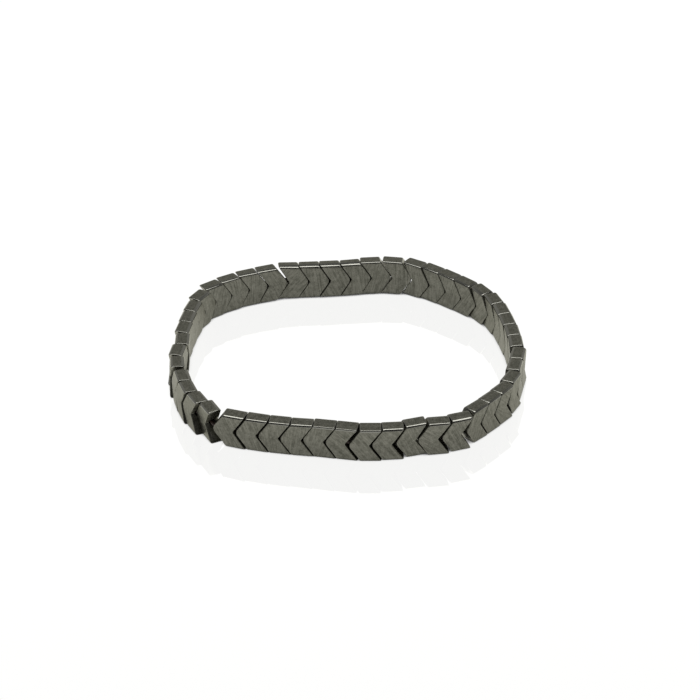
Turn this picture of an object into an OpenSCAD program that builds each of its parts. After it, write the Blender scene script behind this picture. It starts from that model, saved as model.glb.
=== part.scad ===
// Bracelet of dark polished chevron beads on an elastic cord, lying on its side

/* [Bead] */
// Height of a bead as the bracelet lies, which is the width of the band
bead_height = 6.4; // [5:0.1:8]
// Thickness of a bead from its inner face to its outer face
bead_thickness = 2.55; // [2.4:0.05:3.2]
// Length of a bead from its nose to its tips
bead_length = 5.65; // [5.2:0.05:7]
// Depth of the notch at a bead's back, which the next bead's nose fills
chevron_depth = 2.1; // [1.2:0.1:2.4]
// Radius of the nose
nose_radius = 1.2; // [0.6:0.1:1.4]
// Cut across the blunt corners of the side outline
shoulder_cut = 0.15; // [0.05:0.05:0.3]
// Cut across the sharp corners of the side outline
tip_cut = 0.1; // [0.05:0.05:0.3]
// Bevel along the four long edges of the bar that the beads are cut from
bevel = 0.3; // [0.1:0.05:0.5]
// Diameter of the bore that the cord runs through
bore_d = 1.2; // [1:0.1:1.4]

/* [String] */
// Number of beads
bead_count = 48; // [44:1:52]
// Room between the nearest edges of two neighbours
bead_gap = 0.13; // [0.05:0.01:0.2]
// Angle by which the beads of the front and back runs lean outward at the top
run_lean = 5; // [0:0.5:8]
// Angle by which the beads at the two ends of the loop lean inward at the top
end_lean = 2; // [0:0.5:4]
// Diameter of the elastic cord
cord_d = 0.7; // [0.5:0.05:0.8]
// Sides of the cord's tube
cord_sides = 8; // [6:1:12]

/* [Hidden] */
function bead_name(b) = str("bead_", b < 10 ? "0" : "", b);

bead_colour = [0.34, 0.34, 0.31];
cord_colour = [0.23, 0.13, 0.1];

// A bead's length along the cord, without the notch
bead_step = bead_length - chevron_depth;

// Points that the string runs through, seen from above, from the corner at the front left round to it again
route = [
    [-23, -23], [-19, -24.5], [-11, -26.5], [-7.5, -27], [-3.5, -27.5], [0, -28.5], [4, -28.5],
    [8, -28], [11.5, -27], [15.5, -26.5], [19, -25], [22, -22], [26.75, -16], [28.5, -12.5],
    [29.5, -8], [30.25, -4], [30, 0], [29.5, 4], [28, 11], [26.5, 15], [24.5, 18],
    [18.5, 23.5], [12, 28], [8, 28.5], [4, 28], [-3.5, 27], [-11, 26.25], [-18.5, 23.5],
    [-24.75, 19], [-26.75, 15.5], [-28.5, 8], [-29.25, 0], [-29.75, -4], [-28.5, -12.5], [-27.25, -16],
    [-25.25, -19.5], [-23, -23]
];

// Joints where the beads sit looser or tighter than usual, in millimetres
loose_joints = [
    // bead before the joint, extra room
    [1, 0.15],
    [4, 0.2],
    [5, -0.05],
    [8, -0.1],
    [9, -0.05],
    [15, 0.1],
    [16, 0.3],
    [17, 0.1],
    [20, 0.1],
    [28, 0.1],
    [37, 0.05],
    [39, 0.1],
    [40, 0.1],
    [42, 0.1],
    [44, 0.6],
    [45, 0.2],
    [48, 0.4]
];

// Beads that sit out of line, with distances in millimetres and angles in degrees
nudges = [
    // bead, along, out, turn, rise of the tips
    [1, 0, 0, 0, 1],
    [3, 0, 0, 3, 0],
    [4, 0, 0, 0, 1],
    [5, 0, -0.1, -4, 1],
    [6, 0, -0.2, 6, 0],
    [8, 0, 0, -2, 0],
    [9, 0, -0.1, 0, 2],
    [10, 0, 0, 3, -1],
    [11, 0, 0, -4, 0],
    [27, 0, -0.2, 2, 0],
    [28, 0, -0.2, 4, 1],
    [29, 0, 0.1, -1, 0],
    [30, 0, 0, 0, -1],
    [31, 0, 0, 0, 1],
    [33, 0, 0, 0, 2],
    [34, 0, 0, 3, -1],
    [38, 0, -0.1, -1, 0],
    [41, 0, 0, -4, 0],
    [42, 0, 0, 4, 0],
    [44, 0, 0.2, -2, 0],
    [45, 0, 0, 4, 0],
    [47, 0, 0, -3, 0],
    [48, 0, 0, -2, 0]
];

// Curve through the route
curve_steps = 10;
function bend(a, b, c, d, t) =
    (2 * b + (c - a) * t + (2 * a - 5 * b + 4 * c - d) * t ^ 2 + (3 * b - a - 3 * c + d) * t ^ 3) / 2;
route_end = len(route) - 1;
function route_at(i) =
    i < 0 ? 2 * route[0] - route[1]
    : i > route_end ? 2 * route[route_end] - route[route_end - 1]
    : route[i];
curve = concat(
    [
        for (i = [0 : route_end - 1], k = [0 : curve_steps - 1])
            bend(route_at(i - 1), route_at(i), route_at(i + 1), route_at(i + 2), k / curve_steps)
    ],
    [route[route_end]]
);

// Running totals of a list, from zero
function totals(v) = [for (i = 0, t = 0; i <= len(v); t = t + (i < len(v) ? v[i] : 0), i = i + 1) t];
curve_run = totals([for (i = [1 : len(curve) - 1]) norm(curve[i] - curve[i - 1])]);
curve_length = curve_run[len(curve) - 1];
curve_x = [for (i = [0 : len(curve) - 1]) [curve_run[i], curve[i].x]];
curve_y = [for (i = [0 : len(curve) - 1]) [curve_run[i], curve[i].y]];

// Value for a bead in one of the tables above
function table_value(table, row, column, other = 0) =
    let (found = [for (r = table) if (r[0] == row) r[column]]) len(found) > 0 ? found[0] : other;

// Height of a bead's bore, when the bead stands on its foot with its tips raised by an angle
function rise_of(b) = table_value(nudges, b, 4);
function upright_height(b) =
    let (
        rise = rise_of(b),
        foot_start = chevron_depth - bead_step / 2,
        low_x = rise < 0 ? foot_start + bead_step - tip_cut : foot_start
    )
    bead_height / 2 * cos(rise) - low_x * sin(rise);
function end_height(b, side) = upright_height(b) + side * bead_step / 2 * sin(rise_of(b));

// Room that a joint needs where a nose sits above or below its notch, or at an angle to it
arm_angle = atan2(bead_height / 2, chevron_depth);
function rise_room(b) =
    let (
        next = b % bead_count + 1,
        step_up = (end_height(next, -1) - end_height(b, 1)) * cos(arm_angle),
        swing = bead_height / 2 / sin(arm_angle) * sin(rise_of(next) - rise_of(b))
    )
    max(abs(step_up), abs(step_up + swing)) / sin(arm_angle);

// Places along the string, with the loop's size set by what is threaded on it
function sum(v) = totals(v)[len(v)];
function string_length(rooms) = bead_count * bead_step + sum(rooms);
function string_point(d, rooms) =
    let (grown = string_length(rooms) / curve_length)
    grown * [lookup(d / grown, curve_x), lookup(d / grown, curve_y)];
function middles(rooms) =
    let (starts = totals([for (r = rooms) bead_step + r]))
    [for (b = [0 : bead_count - 1]) starts[b] + (bead_step + rooms[bead_count - 1]) / 2];
function bore_ends(middle, rooms) = [for (e = [-1, 1]) string_point(middle + e * bead_step / 2, rooms)];
function heading(ends) = atan2(ends[1].y - ends[0].y, ends[1].x - ends[0].x);
function nearest_turn(a) = a - 360 * round(a / 360);

// Room after each bead: its gap, the wedges that a bend and a rise open, and any drift
function rooms_for(headings) = [
    for (b = [0 : bead_count - 1])
        let (turn = abs(nearest_turn(headings[(b + 1) % bead_count] - headings[b])))
        bead_gap + bead_thickness * tan(turn / 2) + rise_room(b + 1) + table_value(loose_joints, b + 1, 1)
];
function headings_for(rooms) =
    let (m = middles(rooms))
    [for (b = [0 : bead_count - 1]) heading(bore_ends(m[b], rooms)) + table_value(nudges, b + 1, 3)];
function settled(rooms, rounds) = rounds == 0 ? rooms : settled(rooms_for(headings_for(rooms)), rounds - 1);
rooms = settled([for (b = [1 : bead_count]) bead_gap], 4);
bead_middles = middles(rooms);
bead_headings = headings_for(rooms);

// Middle of each bead, seen from above
function direction(a) = [cos(a), sin(a)];
bead_places = [
    for (b = [0 : bead_count - 1])
        let (ends = bore_ends(bead_middles[b], rooms))
        (ends[0] + ends[1]) / 2
        + table_value(nudges, b + 1, 1) * direction(bead_headings[b])
        + table_value(nudges, b + 1, 2) * direction(bead_headings[b] - 90)
];

// Lean of a bead, and the height of its bore when it stands on the lower edge of its foot
function lean_of(b) =
    let (run = cos(bead_headings[b - 1]) ^ 2)
    run_lean * run - end_lean * (1 - run);
function bore_height(b) =
    let (a = abs(lean_of(b)))
    upright_height(b) * cos(a) + (bead_thickness / 2 - bevel) * sin(a);

// The origin is under the middle of the bracelet's box
plan_corners = [
    for (b = [0 : bead_count - 1], x = [-bead_step / 2, bead_step / 2 + chevron_depth], y = [-1, 1])
        bead_places[b] + x * direction(bead_headings[b])
        + y * bead_thickness / 2 * direction(bead_headings[b] + 90)
];
function middle_of(v) = (min(v) + max(v)) / 2;
origin_shift = -[middle_of([for (c = plan_corners) c.x]), middle_of([for (c = plan_corners) c.y])];

// Bead's side outline, with x along the string and y up from the bore
nose_steps = 3;
function along(from, to, distance) = from + distance * (to - from) / norm(to - from);
nose = [-bead_step / 2, 0];
notch = [bead_step / 2, 0];
shoulder = [-bead_step / 2 + chevron_depth, bead_height / 2];
tip = [bead_step / 2 + chevron_depth, bead_height / 2];
upper_outline = concat(
    [
        for (k = [1 : nose_steps])
            let (a = (90 - arm_angle) * k / nose_steps)
            nose + nose_radius * [1 / sin(arm_angle) - cos(a), sin(a)]
    ],
    [
        along(shoulder, nose, shoulder_cut),
        along(shoulder, tip, shoulder_cut),
        along(tip, shoulder, tip_cut),
        along(tip, notch, tip_cut)
    ]
);
outline = concat(
    [nose + nose_radius * [1 / sin(arm_angle) - 1, 0]],
    upper_outline,
    [notch],
    [for (i = [len(upper_outline) - 1 : -1 : 0]) [upper_outline[i].x, -upper_outline[i].y]]
);

// Section of the bar, with x across the thickness
bar_section = [
    for (q = [[1, 1], [-1, 1], [-1, -1], [1, -1]], k = [0, 1])
        let (cut = q.x * q.y > 0 ? k : 1 - k)
        [q.x * (bead_thickness / 2 - cut * bevel), q.y * (bead_height / 2 - (1 - cut) * bevel)]
];

module chevron_bead() {
    difference() {
        intersection() {
            rotate([90, 0, 0]) linear_extrude(bead_thickness, center = true) polygon(outline);
            rotate([90, 0, 90]) linear_extrude(2 * bead_length, center = true) polygon(bar_section);
        }
        rotate([0, 90, 0]) cylinder(h = 2 * bead_length, d = bore_d, center = true, $fn = 32);
    }
}

module bead(b) {
    place = bead_places[b - 1] + origin_shift;
    color(bead_colour)
        translate([place.x, place.y, bore_height(b)])
        rotate([0, 0, bead_headings[b - 1]])
        rotate([lean_of(b), 0, 0])
        rotate([0, -rise_of(b), 0])
        chevron_bead();
}

// The cord, through the middle of every bore
cord_points = [
    for (b = [1 : bead_count], e = [-1, 1])
        let (p = bead_places[b - 1] + origin_shift + e * bead_step / 2 * direction(bead_headings[b - 1]))
        [p.x, p.y, bore_height(b) + e * bead_step / 2 * sin(rise_of(b))]
];

module stretch_cord() {
    n = len(cord_points);
    rings = [
        for (i = [0 : n - 1])
            let (
                before = cord_points[(i + n - 1) % n],
                after = cord_points[(i + 1) % n],
                across = direction(heading([before, after]) + 90)
            )
            [
                for (s = [0 : cord_sides - 1])
                    let (a = 360 * s / cord_sides)
                    [
                        cord_points[i].x + cord_d / 2 * cos(a) * across.x,
                        cord_points[i].y + cord_d / 2 * cos(a) * across.y,
                        cord_points[i].z + cord_d / 2 * sin(a)
                    ]
            ]
    ];
    sides = [
        for (r = [0 : n - 1], s = [0 : cord_sides - 1])
            let (t = (s + 1) % cord_sides, above = (r + 1) % n * cord_sides, below = r * cord_sides)
            [above + s, above + t, below + t, below + s]
    ];
    color(cord_colour) polyhedron([for (ring = rings, p = ring) p], sides);
}

for (b = [1 : bead_count]) bead(b);
stretch_cord();
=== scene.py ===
"""Looks of the beaded bracelet: polished chevron beads on an elastic cord, lying on a white glossy ground."""

import math
import random

import bmesh
import bpy
from mathutils import Matrix, Vector, noise


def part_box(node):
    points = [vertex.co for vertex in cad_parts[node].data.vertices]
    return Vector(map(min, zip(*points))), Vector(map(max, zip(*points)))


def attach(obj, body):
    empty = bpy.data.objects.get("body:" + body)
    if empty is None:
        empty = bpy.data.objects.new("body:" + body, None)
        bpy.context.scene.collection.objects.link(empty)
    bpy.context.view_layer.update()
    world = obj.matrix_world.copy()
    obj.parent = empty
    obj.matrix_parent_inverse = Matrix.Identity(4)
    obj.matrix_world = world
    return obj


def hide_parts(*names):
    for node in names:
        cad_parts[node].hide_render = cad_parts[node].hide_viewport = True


MM = 0.001
UP = Vector((0, 0, 1))
SEED = 48
rng = random.Random(SEED)
noise.seed_set(SEED)

# Camera, as it stood to the bracelet in the photograph
CAMERA_AIM = Vector((0.38, 6.46, 0.2)) * MM
CAMERA_ELEVATION = math.radians(31.2)
CAMERA_ROLL = math.radians(0.25)
CAMERA_DISTANCE = 544.8 * MM
CAMERA_NEAR_CLIP = 10 * MM
IMAGE_WIDTH_PIXELS = 700
FOCAL_LENGTH_PIXELS = 3045

# Bead in its side outline. The step is its length from the nose's corner to the notch's
BEAD_HEIGHT = 6.4 * MM
BEAD_STEP = 3.55 * MM
CHEVRON_DEPTH = 2.1 * MM
ARM_ANGLE = math.atan2(BEAD_HEIGHT / 2, CHEVRON_DEPTH)
NOSE_RADIUS = 1.2 * MM
NOTCH_RADIUS = 0.16 * MM
SHOULDER_RADIUS = 0.24 * MM
TIP_RADIUS = 0.14 * MM
LOWER_RADIUS = 0.05 * MM

# Bore. The drill is longer than a bead, and the cut leaves some points twice, closer than SAME_POINT
BORE_RADIUS = 0.6 * MM
BORE_SIDES = 32
DRILL_LENGTH = 4 * BEAD_STEP
SAME_POINT = 0.001 * MM
SHARP_ANGLE = math.radians(50)

# Heights above the bore at which the nose, the notch and the arms are sliced, in millimetres
ARM_HEIGHTS = [0, 0.04, 0.08, 0.18, 0.3, 0.42, 0.54, 0.65, 1.2, 1.8, 2.4, 2.7]

# Long edges of the bar: depth below the top, distances in from the outer and inner face, all in millimetres,
# and whether the edge is polished there
EDGE_ROWS = [
    (0.45, 0.0, 0.0, 0.0),
    (0.34, 0.0, 0.0, 0.0),
    (0.31, 0.006, 0.006, 1.0),
    (0.18, 0.08, 0.085, 1.0),
    (0.145, 0.115, 0.125, 1.0),
    (0.1, 0.175, 0.21, 1.0),
    (0.06, 0.235, 0.31, 1.0),
    (0.03, 0.29, 0.4, 1.0),
    (0.01, 0.35, 0.5, 1.0),
    (0.0, 0.41, 0.58, 0.0),
]

# Slanted ends: their crown on the outer and inner half of the thickness, the shares of the thickness where
# the crown has points of its own, and the rounding of their edges, larger at the upper corners
OUTER_CROWN = 0.1 * MM
INNER_CROWN = 0.03 * MM
CROWN_SHARES = (0.35, 0.5, 0.65)
END_EDGE_RADIUS = 0.15 * MM
CORNER_RADIUS = 0.28 * MM
CORNER_REACH = 0.7 * MM
END_EDGE_STEPS = 4

# Unevenness of a bead's surface: its size, and how often it changes per metre
WARP_DISTANCE = 0.006 * MM
WARP_SCALE = 700

# Width of a bead's long edges against EDGE_ROWS: how far it differs by chance, how much it changes per metre
# along the string, its limits, and the lower edges' share of it
EDGE_SPREAD = 0.3
EDGE_TAPER = 60
LEAST_EDGE = 0.2
MOST_EDGE = 1.95
LOWER_EDGES = 0.35

# Width of the edges of the beads, by number, that have clearly narrow or wide ones in the photograph
UNUSUAL_EDGES = {
    5: 0.3,
    6: 0.25,
    7: 0.3,
    24: 0.6,
    25: 0.5,
    26: 0.5,
    27: 0.3,
    28: 0.3,
    29: 0.35,
    30: 1.75,
    31: 1.85,
    32: 1.85,
    33: 1.8,
}

# How far in from a face and down from the top a change of an edge's width reaches before it fades out
EDGE_FADE = 1.25 * MM
EDGE_DEPTH = 0.6 * MM

# Room at a joint: both sides reach out by MOST_REACH at most, until TOUCHING is left between them. A joint
# with more room than LOOSE stays as it is
TOUCHING = 0.02 * MM
MOST_REACH = 0.25 * MM
LOOSE = 0.6 * MM

# Joints that differ, by the number of the bead before them: greatest reach where a thin gap shows, and room
# left where the sides are pressed together
GAPING_JOINTS = {9: 0.13 * MM, 28: 0.12 * MM, 33: 0.12 * MM}
PRESSED_JOINTS = {11: -0.03 * MM, 27: -0.06 * MM}

# Heights at which a joint's room is found, how near to them a sample counts, the height beyond which none
# does, and the heights of the samples, all as shares of half a bead's height
JOINT_HEIGHTS = [-0.9, -0.75, -0.6, -0.45, -0.3, 0.3, 0.45, 0.6, 0.75, 0.9]
JOINT_WINDOW = 0.09
JOINT_LIMIT = 0.97
JOINT_SAMPLES = [step / 30 for step in range(-28, 29)]

# Beads that sit askew in their place: distance inward, lift, turn about the upright and roll about the cord
ASKEW = {"bead_48": (0.62 * MM, 0.08 * MM, math.radians(-4), math.radians(5))}

# Faces of a CAD bead: decimals to which the normals of one side agree, and the greatest cosine between the
# normals of two sides that are square to each other
NORMAL_DECIMALS = 2
MOST_COSINE = 0.02

# Cord: a span is the way through a bead's bore, or from one bore to the next
CORD_RADIUS = 0.35 * MM
CORD_SIDES = 16
CORD_RINGS_PER_SPAN = 4

# Stone: its colours by the tone of the texture, the colour of its polished edges, the tint of its glancing
# reflections, and the roughness of faces, least and most, and of edges
STONE_COLOURS = [(0.4, (0.094, 0.094, 0.074, 1)), (0.6, (0.228, 0.225, 0.187, 1))]
EDGE_COLOUR = (0.24, 0.238, 0.21, 1)
GLANCING_TINT = (0.98, 0.97, 0.88, 1)
FACE_ROUGHNESS = (0.3, 0.5)
EDGE_ROUGHNESS = 0.14

# Texture of the stone: shares of the grinding lines and the blotches in it, and the lines' slant in radians,
# least and most, and their scale, which draws them out along one axis
SHARE_OF_LINES = 0.5
SHARE_OF_BLOTCHES = 0.3
LINE_SLANT = (-0.5, 0.9)
LINE_SCALE = (1, 1, 0.08)

# Painted shade, darker towards the bottom and darkest along the lower edge, standing in for the dimmer floor
# that the lower faces reflect and for the contact shadow: heights of a bead from its bottom, 0, to its top,
# 1, and the share of the stone's colour that is left there
PAINTED_SHADE_BY_HEIGHT = [(0.0, 0.45), (0.03, 0.5), (0.07, 0.78), (0.45, 0.88), (0.8, 1.0), (0.96, 1.0), (1.0, 0.98)]

# Cord: its colours by the tone of its fibres
CORD_COLOURS = [(0, (0.014, 0.006, 0.004, 1)), (1, (0.052, 0.026, 0.018, 1))]

# Ground: a glow under a gloss. The glow fades to a painted shadow where beads within GAP_DISTANCE leave
# little open above it. The ground reaches this many metres each way
GROUND_REACH = 3
GROUND_DROP = 0.02 * MM
GROUND_COLOUR = (0.02, 0.02, 0.02, 1)
GROUND_ROUGHNESS = 0.01
GROUND_IOR = 2.8
GLOW_COLOUR = (1, 1, 0.993, 1)
GLOW_STRENGTH = 0.891
GAP_DISTANCE = 1.2 * MM
PAINTED_SHADOW_OPENNESS = (0.05, 0.62)
GAP_SAMPLES = 8

# Softbox, in metres and watts
SOFTBOX_WIDTH = 1.2
SOFTBOX_DEPTH = 0.5
SOFTBOX_HEIGHT = 0.9
SOFTBOX_WATTS = 6.5

# Room around the bracelet: its strength from the camera's side to the far side, by the y of a direction, and
# the multiple of it from low down to overhead, by the direction's z
DEPTH_SPAN = (-0.3, 0.6)
DEPTH_STRENGTH = (0.12, 0.5)
RISE_SPAN = (0.52, 0.75)
RISE_STRENGTH = (1.2, 0.6)

# Places of a mix node's inputs A and B and of its result, by the kind of data
MIX_SOCKETS = {"FLOAT": (2, 3, 0), "RGBA": (6, 7, 2)}


def back_at(z):
    """Place along the string of a bead's nose side at a height above the bore."""
    a = abs(z)
    radius = SHOULDER_RADIUS if z > 0 else LOWER_RADIUS
    top = a - (BEAD_HEIGHT / 2 - radius)
    if a < NOSE_RADIUS * math.cos(ARM_ANGLE):
        return -BEAD_STEP / 2 + NOSE_RADIUS / math.sin(ARM_ANGLE) - math.sqrt(NOSE_RADIUS**2 - a**2)
    if top > radius * math.cos(ARM_ANGLE):
        middle = CHEVRON_DEPTH - BEAD_STEP / 2 + radius * math.tan(ARM_ANGLE / 2)
        return middle - math.sqrt(max(radius**2 - top**2, 0))
    return -BEAD_STEP / 2 + a * CHEVRON_DEPTH / (BEAD_HEIGHT / 2)


def front_at(z):
    """Place along the string of a bead's notch side at a height above the bore."""
    a = abs(z)
    radius = TIP_RADIUS if z > 0 else LOWER_RADIUS
    top = a - (BEAD_HEIGHT / 2 - radius)
    if a < NOTCH_RADIUS * math.cos(ARM_ANGLE):
        return BEAD_STEP / 2 + NOTCH_RADIUS / math.sin(ARM_ANGLE) - math.sqrt(NOTCH_RADIUS**2 - a**2)
    if top > -radius * math.cos(ARM_ANGLE):
        middle = CHEVRON_DEPTH + BEAD_STEP / 2 - radius * math.tan(math.pi / 2 - ARM_ANGLE / 2)
        return middle + math.sqrt(max(radius**2 - top**2, 0))
    return BEAD_STEP / 2 + a * CHEVRON_DEPTH / (BEAD_HEIGHT / 2)


def bead_rows():
    """Slices from the bottom up: height, distances in from the outer and inner face, and polish."""
    middle = [(a * MM, 0, 0, 0) for a in ARM_HEIGHTS]
    top = BEAD_HEIGHT / 2
    edge = [(top - depth * MM, outer * MM, inner * MM, polish) for depth, outer, inner, polish in EDGE_ROWS]
    upper = middle + edge
    return [(-z, outer, inner, 0) for z, outer, inner, polish in reversed(upper[1:])] + upper


def end_drop(y):
    """How far a slanted end falls back from its middle, at a distance across the thickness."""
    return (OUTER_CROWN if y < 0 else INNER_CROWN) * (2 * y / bead_thickness) ** 2


def ring_points(z, outer, inner):
    """Level slice of a bead: a rectangle with its four corners rounded and its two ends crowned."""
    corner = max(0, 1 - (BEAD_HEIGHT / 2 - z) / CORNER_REACH)
    radius = END_EDGE_RADIUS + (CORNER_RADIUS - END_EDGE_RADIUS) * corner**2
    low = Vector((back_at(z), outer - bead_thickness / 2))
    high = Vector((front_at(z), bead_thickness / 2 - inner))
    points = []
    for quarter, (x, y) in enumerate([(low.x, low.y), (high.x, low.y), (high.x, high.y), (low.x, high.y)]):
        inward = Vector((1 if x == low.x else -1, 1 if y == low.y else -1))
        centre = Vector((x, y)) + radius * inward
        for k in range(END_EDGE_STEPS + 1):
            a = math.pi + math.pi / 2 * (quarter + k / END_EDGE_STEPS)
            points.append(centre + radius * Vector((math.cos(a), math.sin(a))))
        if quarter % 2 == 1:
            points += [Vector((x, y + (low.y + high.y - 2 * y) * share)) for share in CROWN_SHARES]
    middle = (low.x + high.x) / 2
    for point in points:
        point.x += end_drop(point.y) * (1 if point.x < middle else -1)
    return points


def sliced_bead():
    """A closed chevron with rounded edges and no bore, as a mesh."""
    mesh = bpy.data.meshes.new("chevron_blank")
    bm = bmesh.new()
    polish_layer = bm.verts.layers.float.new("polish")
    rings = []
    for z, outer, inner, polish in bead_rows():
        ring = [bm.verts.new((p.x, p.y, z)) for p in ring_points(z, outer, inner)]
        for vert in ring:
            vert[polish_layer] = polish
        rings.append(ring)
    count = len(rings[0])
    for lower, upper in zip(rings, rings[1:]):
        for i in range(count):
            j = (i + 1) % count
            bm.faces.new((lower[i], lower[j], upper[j], upper[i]))
    bm.faces.new(rings[0])
    bm.faces.new(rings[-1])
    bmesh.ops.recalc_face_normals(bm, faces=bm.faces)
    bm.to_mesh(mesh)
    bm.free()
    return mesh


def drill():
    """A cylinder along the string, as wide as the bore."""
    mesh = bpy.data.meshes.new("drill")
    bm = bmesh.new()
    bmesh.ops.create_cone(
        bm, cap_ends=True, segments=BORE_SIDES, radius1=BORE_RADIUS, radius2=BORE_RADIUS, depth=DRILL_LENGTH
    )
    bmesh.ops.rotate(bm, verts=bm.verts, matrix=Matrix.Rotation(math.pi / 2, 3, "Y"))
    bm.to_mesh(mesh)
    bm.free()
    return mesh


def drilled(mesh):
    """The same mesh with the bore cut through it."""
    blank = bpy.data.objects.new("blank", mesh)
    tool = bpy.data.objects.new("drill", drill())
    for helper in (blank, tool):
        bpy.context.scene.collection.objects.link(helper)
    cut = blank.modifiers.new("bore", "BOOLEAN")
    cut.operation = "DIFFERENCE"
    cut.solver = "EXACT"
    cut.object = tool
    evaluated = blank.evaluated_get(bpy.context.evaluated_depsgraph_get())
    result = bpy.data.meshes.new_from_object(evaluated)
    for helper in (blank, tool):
        bpy.data.objects.remove(helper)
    bm = bmesh.new()
    bm.from_mesh(result)
    bmesh.ops.remove_doubles(bm, verts=bm.verts, dist=SAME_POINT)
    bm.to_mesh(result)
    bm.free()
    result.shade_smooth()
    result.set_sharp_from_angle(angle=SHARP_ANGLE)
    return result


def bead_place(node):
    """Matrix and size of a bead as its CAD node lies, with x along the bore, y inward and z up its height."""
    sides = {}
    for face in node.data.polygons:
        key = tuple(round(c, NORMAL_DECIMALS) for c in face.normal)
        sides[key] = sides.get(key, Vector()) + face.normal * face.area
    y = max(sides.values(), key=lambda side: side.length).normalized()
    low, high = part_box(node.name)
    if y.dot(low + high) > 0:
        y = -y
    flats = [side.normalized() for side in sides.values() if abs(side.normalized().dot(y)) < MOST_COSINE]
    z = max(flats, key=lambda flat: flat.dot(UP))
    x = y.cross(z).normalized()
    turn = Matrix((x, y, x.cross(y)))
    points = [turn @ vert.co for vert in node.data.vertices]
    low = Vector([min(p[k] for p in points) for k in range(3)])
    high = Vector([max(p[k] for p in points) for k in range(3)])
    nose_corner = low.x - (NOSE_RADIUS / math.sin(ARM_ANGLE) - NOSE_RADIUS)
    middle = Vector((nose_corner + BEAD_STEP / 2, (low.y + high.y) / 2, (low.z + high.z) / 2))
    return Matrix.Translation(turn.transposed() @ middle) @ turn.transposed().to_4x4(), high - low


def settled(node, place):
    """Place of a bead, with the small shift of those that sit askew."""
    inward, lift, turn, roll = ASKEW.get(node.name, (0, 0, 0, 0))
    shift = Matrix.Translation((0, inward, lift))
    return place @ shift @ Matrix.Rotation(turn, 4, "Z") @ Matrix.Rotation(roll, 4, "X")


def joint_rooms(here, there):
    """Least room along the cord between a bead's notch and the next bead's nose, near each joint height."""
    into = here.inverted() @ there
    edge = bead_thickness / 2 - END_EDGE_RADIUS / 2
    samples = []
    for height in JOINT_SAMPLES:
        z = height * BEAD_HEIGHT / 2
        for y in (-edge, -edge / 2, 0, edge / 2, edge):
            nose = into @ Vector((back_at(z) + end_drop(y), y, z))
            samples.append((nose.z, nose.x - front_at(nose.z) + end_drop(nose.y)))
            notch = into.inverted() @ Vector((front_at(z) - end_drop(y), y, z))
            samples.append((notch.z, back_at(notch.z) + end_drop(notch.y) - notch.x))
    found = [(2 * z / BEAD_HEIGHT, room) for z, room in samples if abs(2 * z / BEAD_HEIGHT) < JOINT_LIMIT]
    return [min(room for z, room in found if abs(z - height) < JOINT_WINDOW) for height in JOINT_HEIGHTS]


def reaches(places):
    """How far each bead's nose side and notch side reach out, so that neighbours all but touch."""
    count = len(places)
    joints = []
    for i in range(count):
        rooms = joint_rooms(places[i], places[(i + 1) % count])
        most = GAPING_JOINTS.get(i + 1, MOST_REACH)
        left = PRESSED_JOINTS.get(i + 1, TOUCHING)
        if min(rooms) > LOOSE:
            joints.append([0] * len(rooms))
        else:
            joints.append([max(-MOST_REACH, min(most, (room - left) / 2)) for room in rooms])
    return [(joints[i - 1], joints[i]) for i in range(count)]


def reach_at(reach, z):
    """Reach at a height, in a straight line between the joint heights."""
    height = max(JOINT_HEIGHTS[0], min(JOINT_HEIGHTS[-1], 2 * z / BEAD_HEIGHT))
    for k in range(len(JOINT_HEIGHTS) - 1):
        low, high = JOINT_HEIGHTS[k], JOINT_HEIGHTS[k + 1]
        if height <= high:
            return reach[k] + (reach[k + 1] - reach[k]) * (height - low) / (high - low)


def edge_widths(number):
    """Width of a bead's edges on its outer (-1) and inner (1) side, and how it changes along them."""
    usual = UNUSUAL_EDGES.get(number, 1)
    widths = {}
    for side in (-1, 1):
        spread = rng.uniform(-1, 1) * EDGE_SPREAD if usual <= 1 else 0
        taper = rng.uniform(-1, 1) * EDGE_TAPER
        widths[side] = (usual * (1 + spread), taper)
    return widths


def reshaped(point, widths, nose_reach, notch_reach):
    """Where a point of the master bead lies in one bead, with that bead's edges and reach."""
    x, y, z = point
    notch_side = x > (back_at(z) + front_at(z)) / 2
    side = 1 if y > 0 else -1
    inset = bead_thickness / 2 - abs(y)
    depth = BEAD_HEIGHT / 2 - abs(z)
    width, taper = widths[side]
    width = min(MOST_EDGE, max(LEAST_EDGE, width * (1 + taper * x))) * (LOWER_EDGES if z < 0 else 1)
    if depth < EDGE_DEPTH and inset < EDGE_FADE:
        growth = (width - 1) * (1 - inset / EDGE_FADE)
        y = side * (bead_thickness / 2 - inset * (1 + growth))
        depth *= 1 + max(0, growth) * (1 - depth / EDGE_DEPTH)
        outline = front_at if notch_side else back_at
        old, z = z, math.copysign(BEAD_HEIGHT / 2 - depth, z)
        x += outline(z) - outline(old)
    x += reach_at(notch_reach, z) if notch_side else -reach_at(nose_reach, z)
    return Vector((x, y, z))


def chevron(name, master, place, nose_reach, notch_reach):
    """One bead, a little different from the others, standing where its CAD node is."""
    mesh = master.copy()
    mesh.name = name
    shift = Vector([rng.uniform(-1, 1) for _ in range(3)])
    widths = edge_widths(int(name[-2:]))
    for vert in mesh.vertices:
        warp = WARP_DISTANCE * noise.noise_vector(vert.co * WARP_SCALE + shift)
        vert.co = reshaped(vert.co, widths, nose_reach, notch_reach) + warp
    bead = bpy.data.objects.new(name, mesh)
    bpy.context.scene.collection.objects.link(bead)
    bead.matrix_world = place
    even = bead.modifiers.new("flat faces stay flat", "WEIGHTED_NORMAL")
    even.keep_sharp = True
    return bead


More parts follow.
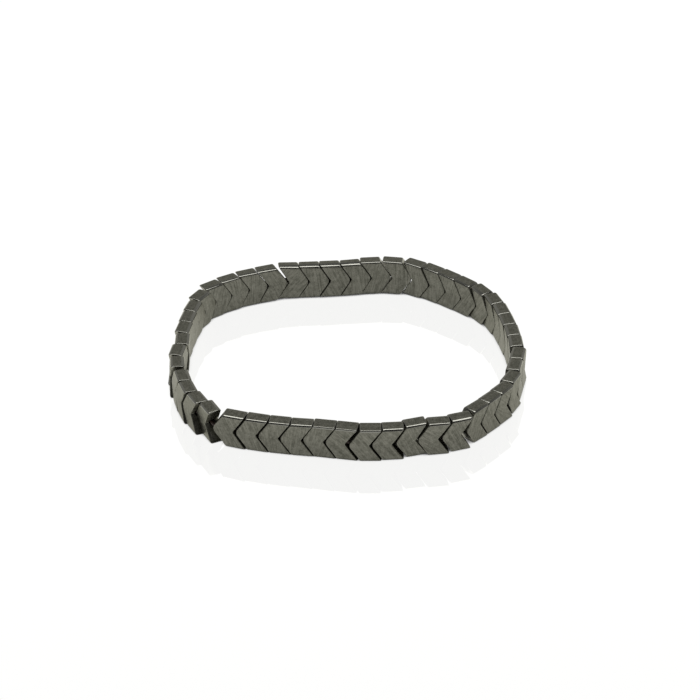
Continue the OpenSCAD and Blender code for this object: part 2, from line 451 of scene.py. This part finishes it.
def cord_line(places):
    """Centre of the cord, straight through each bore and bending between the beads."""
    ends = [place @ Vector((side * BEAD_STEP / 2, 0, 0)) for place in places for side in (-1, 1)]
    count = len(ends)
    line = []
    for i in range(count):
        a, b, c, d = (ends[(i + k) % count] for k in (-1, 0, 1, 2))
        for k in range(CORD_RINGS_PER_SPAN):
            t = k / CORD_RINGS_PER_SPAN
            if i % 2 == 0:
                line.append(b.lerp(c, t))
            else:
                reach = (c - b).length
                start = (b - a).normalized() * reach
                finish = (d - c).normalized() * reach
                line.append(
                    b * (2 * t**3 - 3 * t**2 + 1)
                    + start * (t**3 - 2 * t**2 + t)
                    + c * (3 * t**2 - 2 * t**3)
                    + finish * (t**3 - t**2)
                )
    return line


def cord_tube(line):
    """The cord, a closed tube round its centre line."""
    mesh = bpy.data.meshes.new("elastic_cord")
    bm = bmesh.new()
    count = len(line)
    angles = [2 * math.pi * s / CORD_SIDES for s in range(CORD_SIDES)]
    rings = []
    for i, centre in enumerate(line):
        ahead = (line[(i + 1) % count] - line[i - 1]).normalized()
        across = ahead.cross(UP).normalized()
        above = across.cross(ahead)
        spokes = [across * math.cos(a) + above * math.sin(a) for a in angles]
        rings.append([bm.verts.new(centre + CORD_RADIUS * spoke) for spoke in spokes])
    for i in range(count):
        here, there = rings[i], rings[(i + 1) % count]
        for s in range(CORD_SIDES):
            t = (s + 1) % CORD_SIDES
            bm.faces.new((here[s], here[t], there[t], there[s]))
    bmesh.ops.recalc_face_normals(bm, faces=bm.faces)
    bm.to_mesh(mesh)
    bm.free()
    mesh.shade_smooth()
    cord = bpy.data.objects.new("elastic_cord", mesh)
    bpy.context.scene.collection.objects.link(cord)
    return cord


def tree_of(owner):
    """The emptied node tree of a material or a world."""
    owner.use_nodes = True
    tree = owner.node_tree
    tree.nodes.clear()
    return tree


def feed(tree, socket, value):
    """Links an output to an input, or sets the input to a fixed value."""
    if isinstance(value, bpy.types.NodeSocket):
        tree.links.new(value, socket)
    else:
        socket.default_value = value


def add_node(tree, kind, **settings):
    """A node with its settings and inputs: a name that one of its inputs has feeds that input."""
    node = tree.nodes.new(kind)
    for name, value in settings.items():
        label = name.replace("_", " ").title()
        if label in node.inputs:
            feed(tree, node.inputs[label], value)
        else:
            setattr(node, name, value)
    return node


def combined(tree, kind, operation, first, second):
    """Output of a maths node of two inputs."""
    node = add_node(tree, kind, operation=operation)
    feed(tree, node.inputs[0], first)
    feed(tree, node.inputs[1], second)
    return node.outputs[0]


def remapped(tree, value, start, end, interpolation="LINEAR"):
    """Output of a node that maps one range of a value onto another."""
    node = add_node(tree, "ShaderNodeMapRange", interpolation_type=interpolation, value=value)
    for label, limit in zip(("From Min", "From Max", "To Min", "To Max"), (*start, *end)):
        node.inputs[label].default_value = limit
    return node.outputs["Result"]


def mixed(tree, kind, factor, first, second):
    """Output of a node that mixes two numbers or two colours."""
    node = add_node(tree, "ShaderNodeMix", data_type=kind, factor=factor)
    a, b, result = MIX_SOCKETS[kind]
    feed(tree, node.inputs[a], first)
    feed(tree, node.inputs[b], second)
    return node.outputs[result]


def colour_ramp(tree, value, stops):
    """Output of a colour ramp through stops of a position and a colour."""
    node = add_node(tree, "ShaderNodeValToRGB", fac=value)
    elements = node.color_ramp.elements
    for position, colour in stops[1:-1]:
        elements.new(position).color = colour
    for element, (position, colour) in zip((elements[0], elements[-1]), (stops[0], stops[-1])):
        element.position = position
        element.color = colour
    return node.outputs["Color"]


def noise_texture(tree, place, **settings):
    """Output of a noise texture. Its scale is in waves per metre."""
    return add_node(tree, "ShaderNodeTexNoise", vector=place, **settings).outputs["Fac"]


def grinding_lines(tree, place, chance):
    """Output of a noise that is drawn out into fine lines, which slant differently on each bead."""
    slant = remapped(tree, chance, (0, 1), LINE_SLANT)
    turned = add_node(tree, "ShaderNodeVectorRotate", rotation_type="Y_AXIS", vector=place, angle=slant)
    drawn_out = add_node(tree, "ShaderNodeMapping", vector=turned.outputs["Vector"], scale=LINE_SCALE)
    return noise_texture(tree, drawn_out.outputs["Vector"], scale=4200, detail=2, roughness=0.6)


def stone_material():
    """Dark grey metallic stone: satin faces with grain, blotches and grinding lines, polished edges, and
    painted shade that darkens it towards the bottom.
    """
    material = bpy.data.materials.new("polished_stone")
    tree = tree_of(material)
    place = add_node(tree, "ShaderNodeTexCoord").outputs["Object"]
    bead = add_node(tree, "ShaderNodeObjectInfo")
    own_place = combined(tree, "ShaderNodeVectorMath", "ADD", place, bead.outputs["Location"])

    grain = noise_texture(tree, own_place, scale=6500, detail=3, roughness=0.7)
    blotches = noise_texture(tree, own_place, scale=1400, detail=3, roughness=0.6)
    lines = grinding_lines(tree, own_place, bead.outputs["Random"])
    texture = mixed(tree, "FLOAT", SHARE_OF_LINES, grain, lines)
    tone = mixed(tree, "FLOAT", SHARE_OF_BLOTCHES, texture, blotches)
    colour = colour_ramp(tree, tone, STONE_COLOURS)

    # Painted shade: the stone's colour is made darker towards the bottom of each bead
    height = add_node(tree, "ShaderNodeSeparateXYZ", vector=place).outputs["Z"]
    rise = remapped(tree, height, (-BEAD_HEIGHT / 2, BEAD_HEIGHT / 2), (0, 1))
    painted_shade = colour_ramp(tree, rise, [(share, (light, light, light, 1)) for share, light in PAINTED_SHADE_BY_HEIGHT])
    shaded = combined(tree, "ShaderNodeVectorMath", "MULTIPLY", colour, painted_shade)

    polish = add_node(tree, "ShaderNodeAttribute", attribute_name="polish").outputs["Fac"]
    base = mixed(tree, "RGBA", polish, shaded, EDGE_COLOUR)
    dull = remapped(tree, blotches, (0, 1), FACE_ROUGHNESS)
    roughness = mixed(tree, "FLOAT", polish, dull, EDGE_ROUGHNESS)
    bump = add_node(tree, "ShaderNodeBump", strength=0.35, distance=0.012 * MM, height=texture)
    shader = add_node(
        tree,
        "ShaderNodeBsdfPrincipled",
        base_color=base,
        metallic=1.0,
        roughness=roughness,
        specular_tint=GLANCING_TINT,
        normal=bump.outputs["Normal"],
    )
    add_node(tree, "ShaderNodeOutputMaterial", surface=shader.outputs["BSDF"])
    return material


def cord_material():
    """Elastic cord with fine fibres, dark reddish brown."""
    material = bpy.data.materials.new("brown_elastic")
    tree = tree_of(material)
    place = add_node(tree, "ShaderNodeTexCoord").outputs["Object"]
    fibres = noise_texture(tree, place, scale=6000, detail=3, roughness=0.6)
    colour = colour_ramp(tree, fibres, CORD_COLOURS)
    bump = add_node(tree, "ShaderNodeBump", strength=0.4, distance=0.02 * MM, height=fibres)
    shader = add_node(
        tree, "ShaderNodeBsdfPrincipled", base_color=colour, roughness=0.5, normal=bump.outputs["Normal"]
    )
    add_node(tree, "ShaderNodeOutputMaterial", surface=shader.outputs["BSDF"])
    return material


def ground_material():
    """White and glossy, and darkened by a painted shadow where the beads all but cover it."""
    material = bpy.data.materials.new("white_acrylic")
    tree = tree_of(material)
    # Painted shadow: the floor's glow is dimmed where the beads leave little open above it
    painted_shadow_openness = add_node(tree, "ShaderNodeAmbientOcclusion", samples=GAP_SAMPLES, distance=GAP_DISTANCE)
    glow = remapped(tree, painted_shadow_openness.outputs["AO"], PAINTED_SHADOW_OPENNESS, (0, GLOW_STRENGTH), "SMOOTHSTEP")
    shader = add_node(
        tree,
        "ShaderNodeBsdfPrincipled",
        base_color=GROUND_COLOUR,
        roughness=GROUND_ROUGHNESS,
        emission_color=GLOW_COLOUR,
        emission_strength=glow,
    )
    shader.inputs["IOR"].default_value = GROUND_IOR
    add_node(tree, "ShaderNodeOutputMaterial", surface=shader.outputs["BSDF"])
    return material


def floor():
    """The ground, which shows the bracelet's faint mirror image."""
    mesh = bpy.data.meshes.new("ground")
    corners = [(x * GROUND_REACH, y * GROUND_REACH, 0) for x, y in ((-1, -1), (1, -1), (1, 1), (-1, 1))]
    mesh.from_pydata(corners, [], [(0, 1, 2, 3)])
    mesh.materials.append(ground_material())
    ground = bpy.data.objects.new("ground", mesh)
    bpy.context.scene.collection.objects.link(ground)
    ground.location.z = -GROUND_DROP


def softbox():
    """A wide soft light straight overhead."""
    data = bpy.data.lights.new("overhead_softbox", "AREA")
    data.shape = "RECTANGLE"
    data.size = SOFTBOX_WIDTH
    data.size_y = SOFTBOX_DEPTH
    data.energy = SOFTBOX_WATTS
    light = bpy.data.objects.new("overhead_softbox", data)
    light.location.z = SOFTBOX_HEIGHT
    bpy.context.scene.collection.objects.link(light)


def surroundings():
    """A pale room, brighter behind the bracelet and near the horizon than behind the camera and overhead."""
    world = bpy.data.worlds.new("pale_room")
    bpy.context.scene.world = world
    tree = tree_of(world)
    direction = add_node(tree, "ShaderNodeTexCoord").outputs["Generated"]
    part = add_node(tree, "ShaderNodeSeparateXYZ", vector=direction)
    depth = remapped(tree, part.outputs["Y"], DEPTH_SPAN, DEPTH_STRENGTH, "SMOOTHSTEP")
    rise = remapped(tree, part.outputs["Z"], RISE_SPAN, RISE_STRENGTH, "SMOOTHSTEP")
    strength = combined(tree, "ShaderNodeMath", "MULTIPLY", depth, rise)
    background = add_node(tree, "ShaderNodeBackground", strength=strength)
    add_node(tree, "ShaderNodeOutputWorld", surface=background.outputs["Background"])


def camera():
    """The photograph's camera, rolled a little about its own axis."""
    data = bpy.data.cameras.new("camera")
    data.lens = data.sensor_width * FOCAL_LENGTH_PIXELS / IMAGE_WIDTH_PIXELS
    data.clip_start = CAMERA_NEAR_CLIP
    eye = bpy.data.objects.new("camera", data)
    back = Vector((0, -math.cos(CAMERA_ELEVATION), math.sin(CAMERA_ELEVATION)))
    eye.location = CAMERA_AIM + CAMERA_DISTANCE * back
    level = (-back).to_track_quat("-Z", "Y").to_matrix()
    eye.rotation_euler = (level @ Matrix.Rotation(CAMERA_ROLL, 3, "Z")).to_euler()
    bpy.context.scene.collection.objects.link(eye)
    bpy.context.scene.camera = eye


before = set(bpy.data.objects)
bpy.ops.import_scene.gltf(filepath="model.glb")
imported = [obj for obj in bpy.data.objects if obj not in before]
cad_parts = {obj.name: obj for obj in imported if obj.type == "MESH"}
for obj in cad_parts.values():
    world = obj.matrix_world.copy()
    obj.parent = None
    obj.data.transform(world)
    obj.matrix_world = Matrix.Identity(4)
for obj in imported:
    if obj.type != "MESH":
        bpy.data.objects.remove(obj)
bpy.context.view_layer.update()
bead_nodes = [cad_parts[name] for name in sorted(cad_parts) if name.startswith("bead_")]
measured = [bead_place(node) for node in bead_nodes]
places = [settled(node, place) for node, (place, size) in zip(bead_nodes, measured)]

# Thickness of a bead, which the functions above use
bead_thickness = measured[0][1].y

camera()
surroundings()
softbox()
floor()

stone = stone_material()
master = drilled(sliced_bead())
master.materials.append(stone)
for node, place, (nose_reach, notch_reach) in zip(bead_nodes, places, reaches(places)):
    bead = chevron(node.name.replace("bead", "chevron"), master, place, nose_reach, notch_reach)
    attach(bead, "root")
    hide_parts(node.name)

cord = cord_tube(cord_line(places))
cord.data.materials.append(cord_material())
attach(cord, "root")
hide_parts("stretch_cord")

bpy.context.scene.view_settings.view_transform = "Standard"
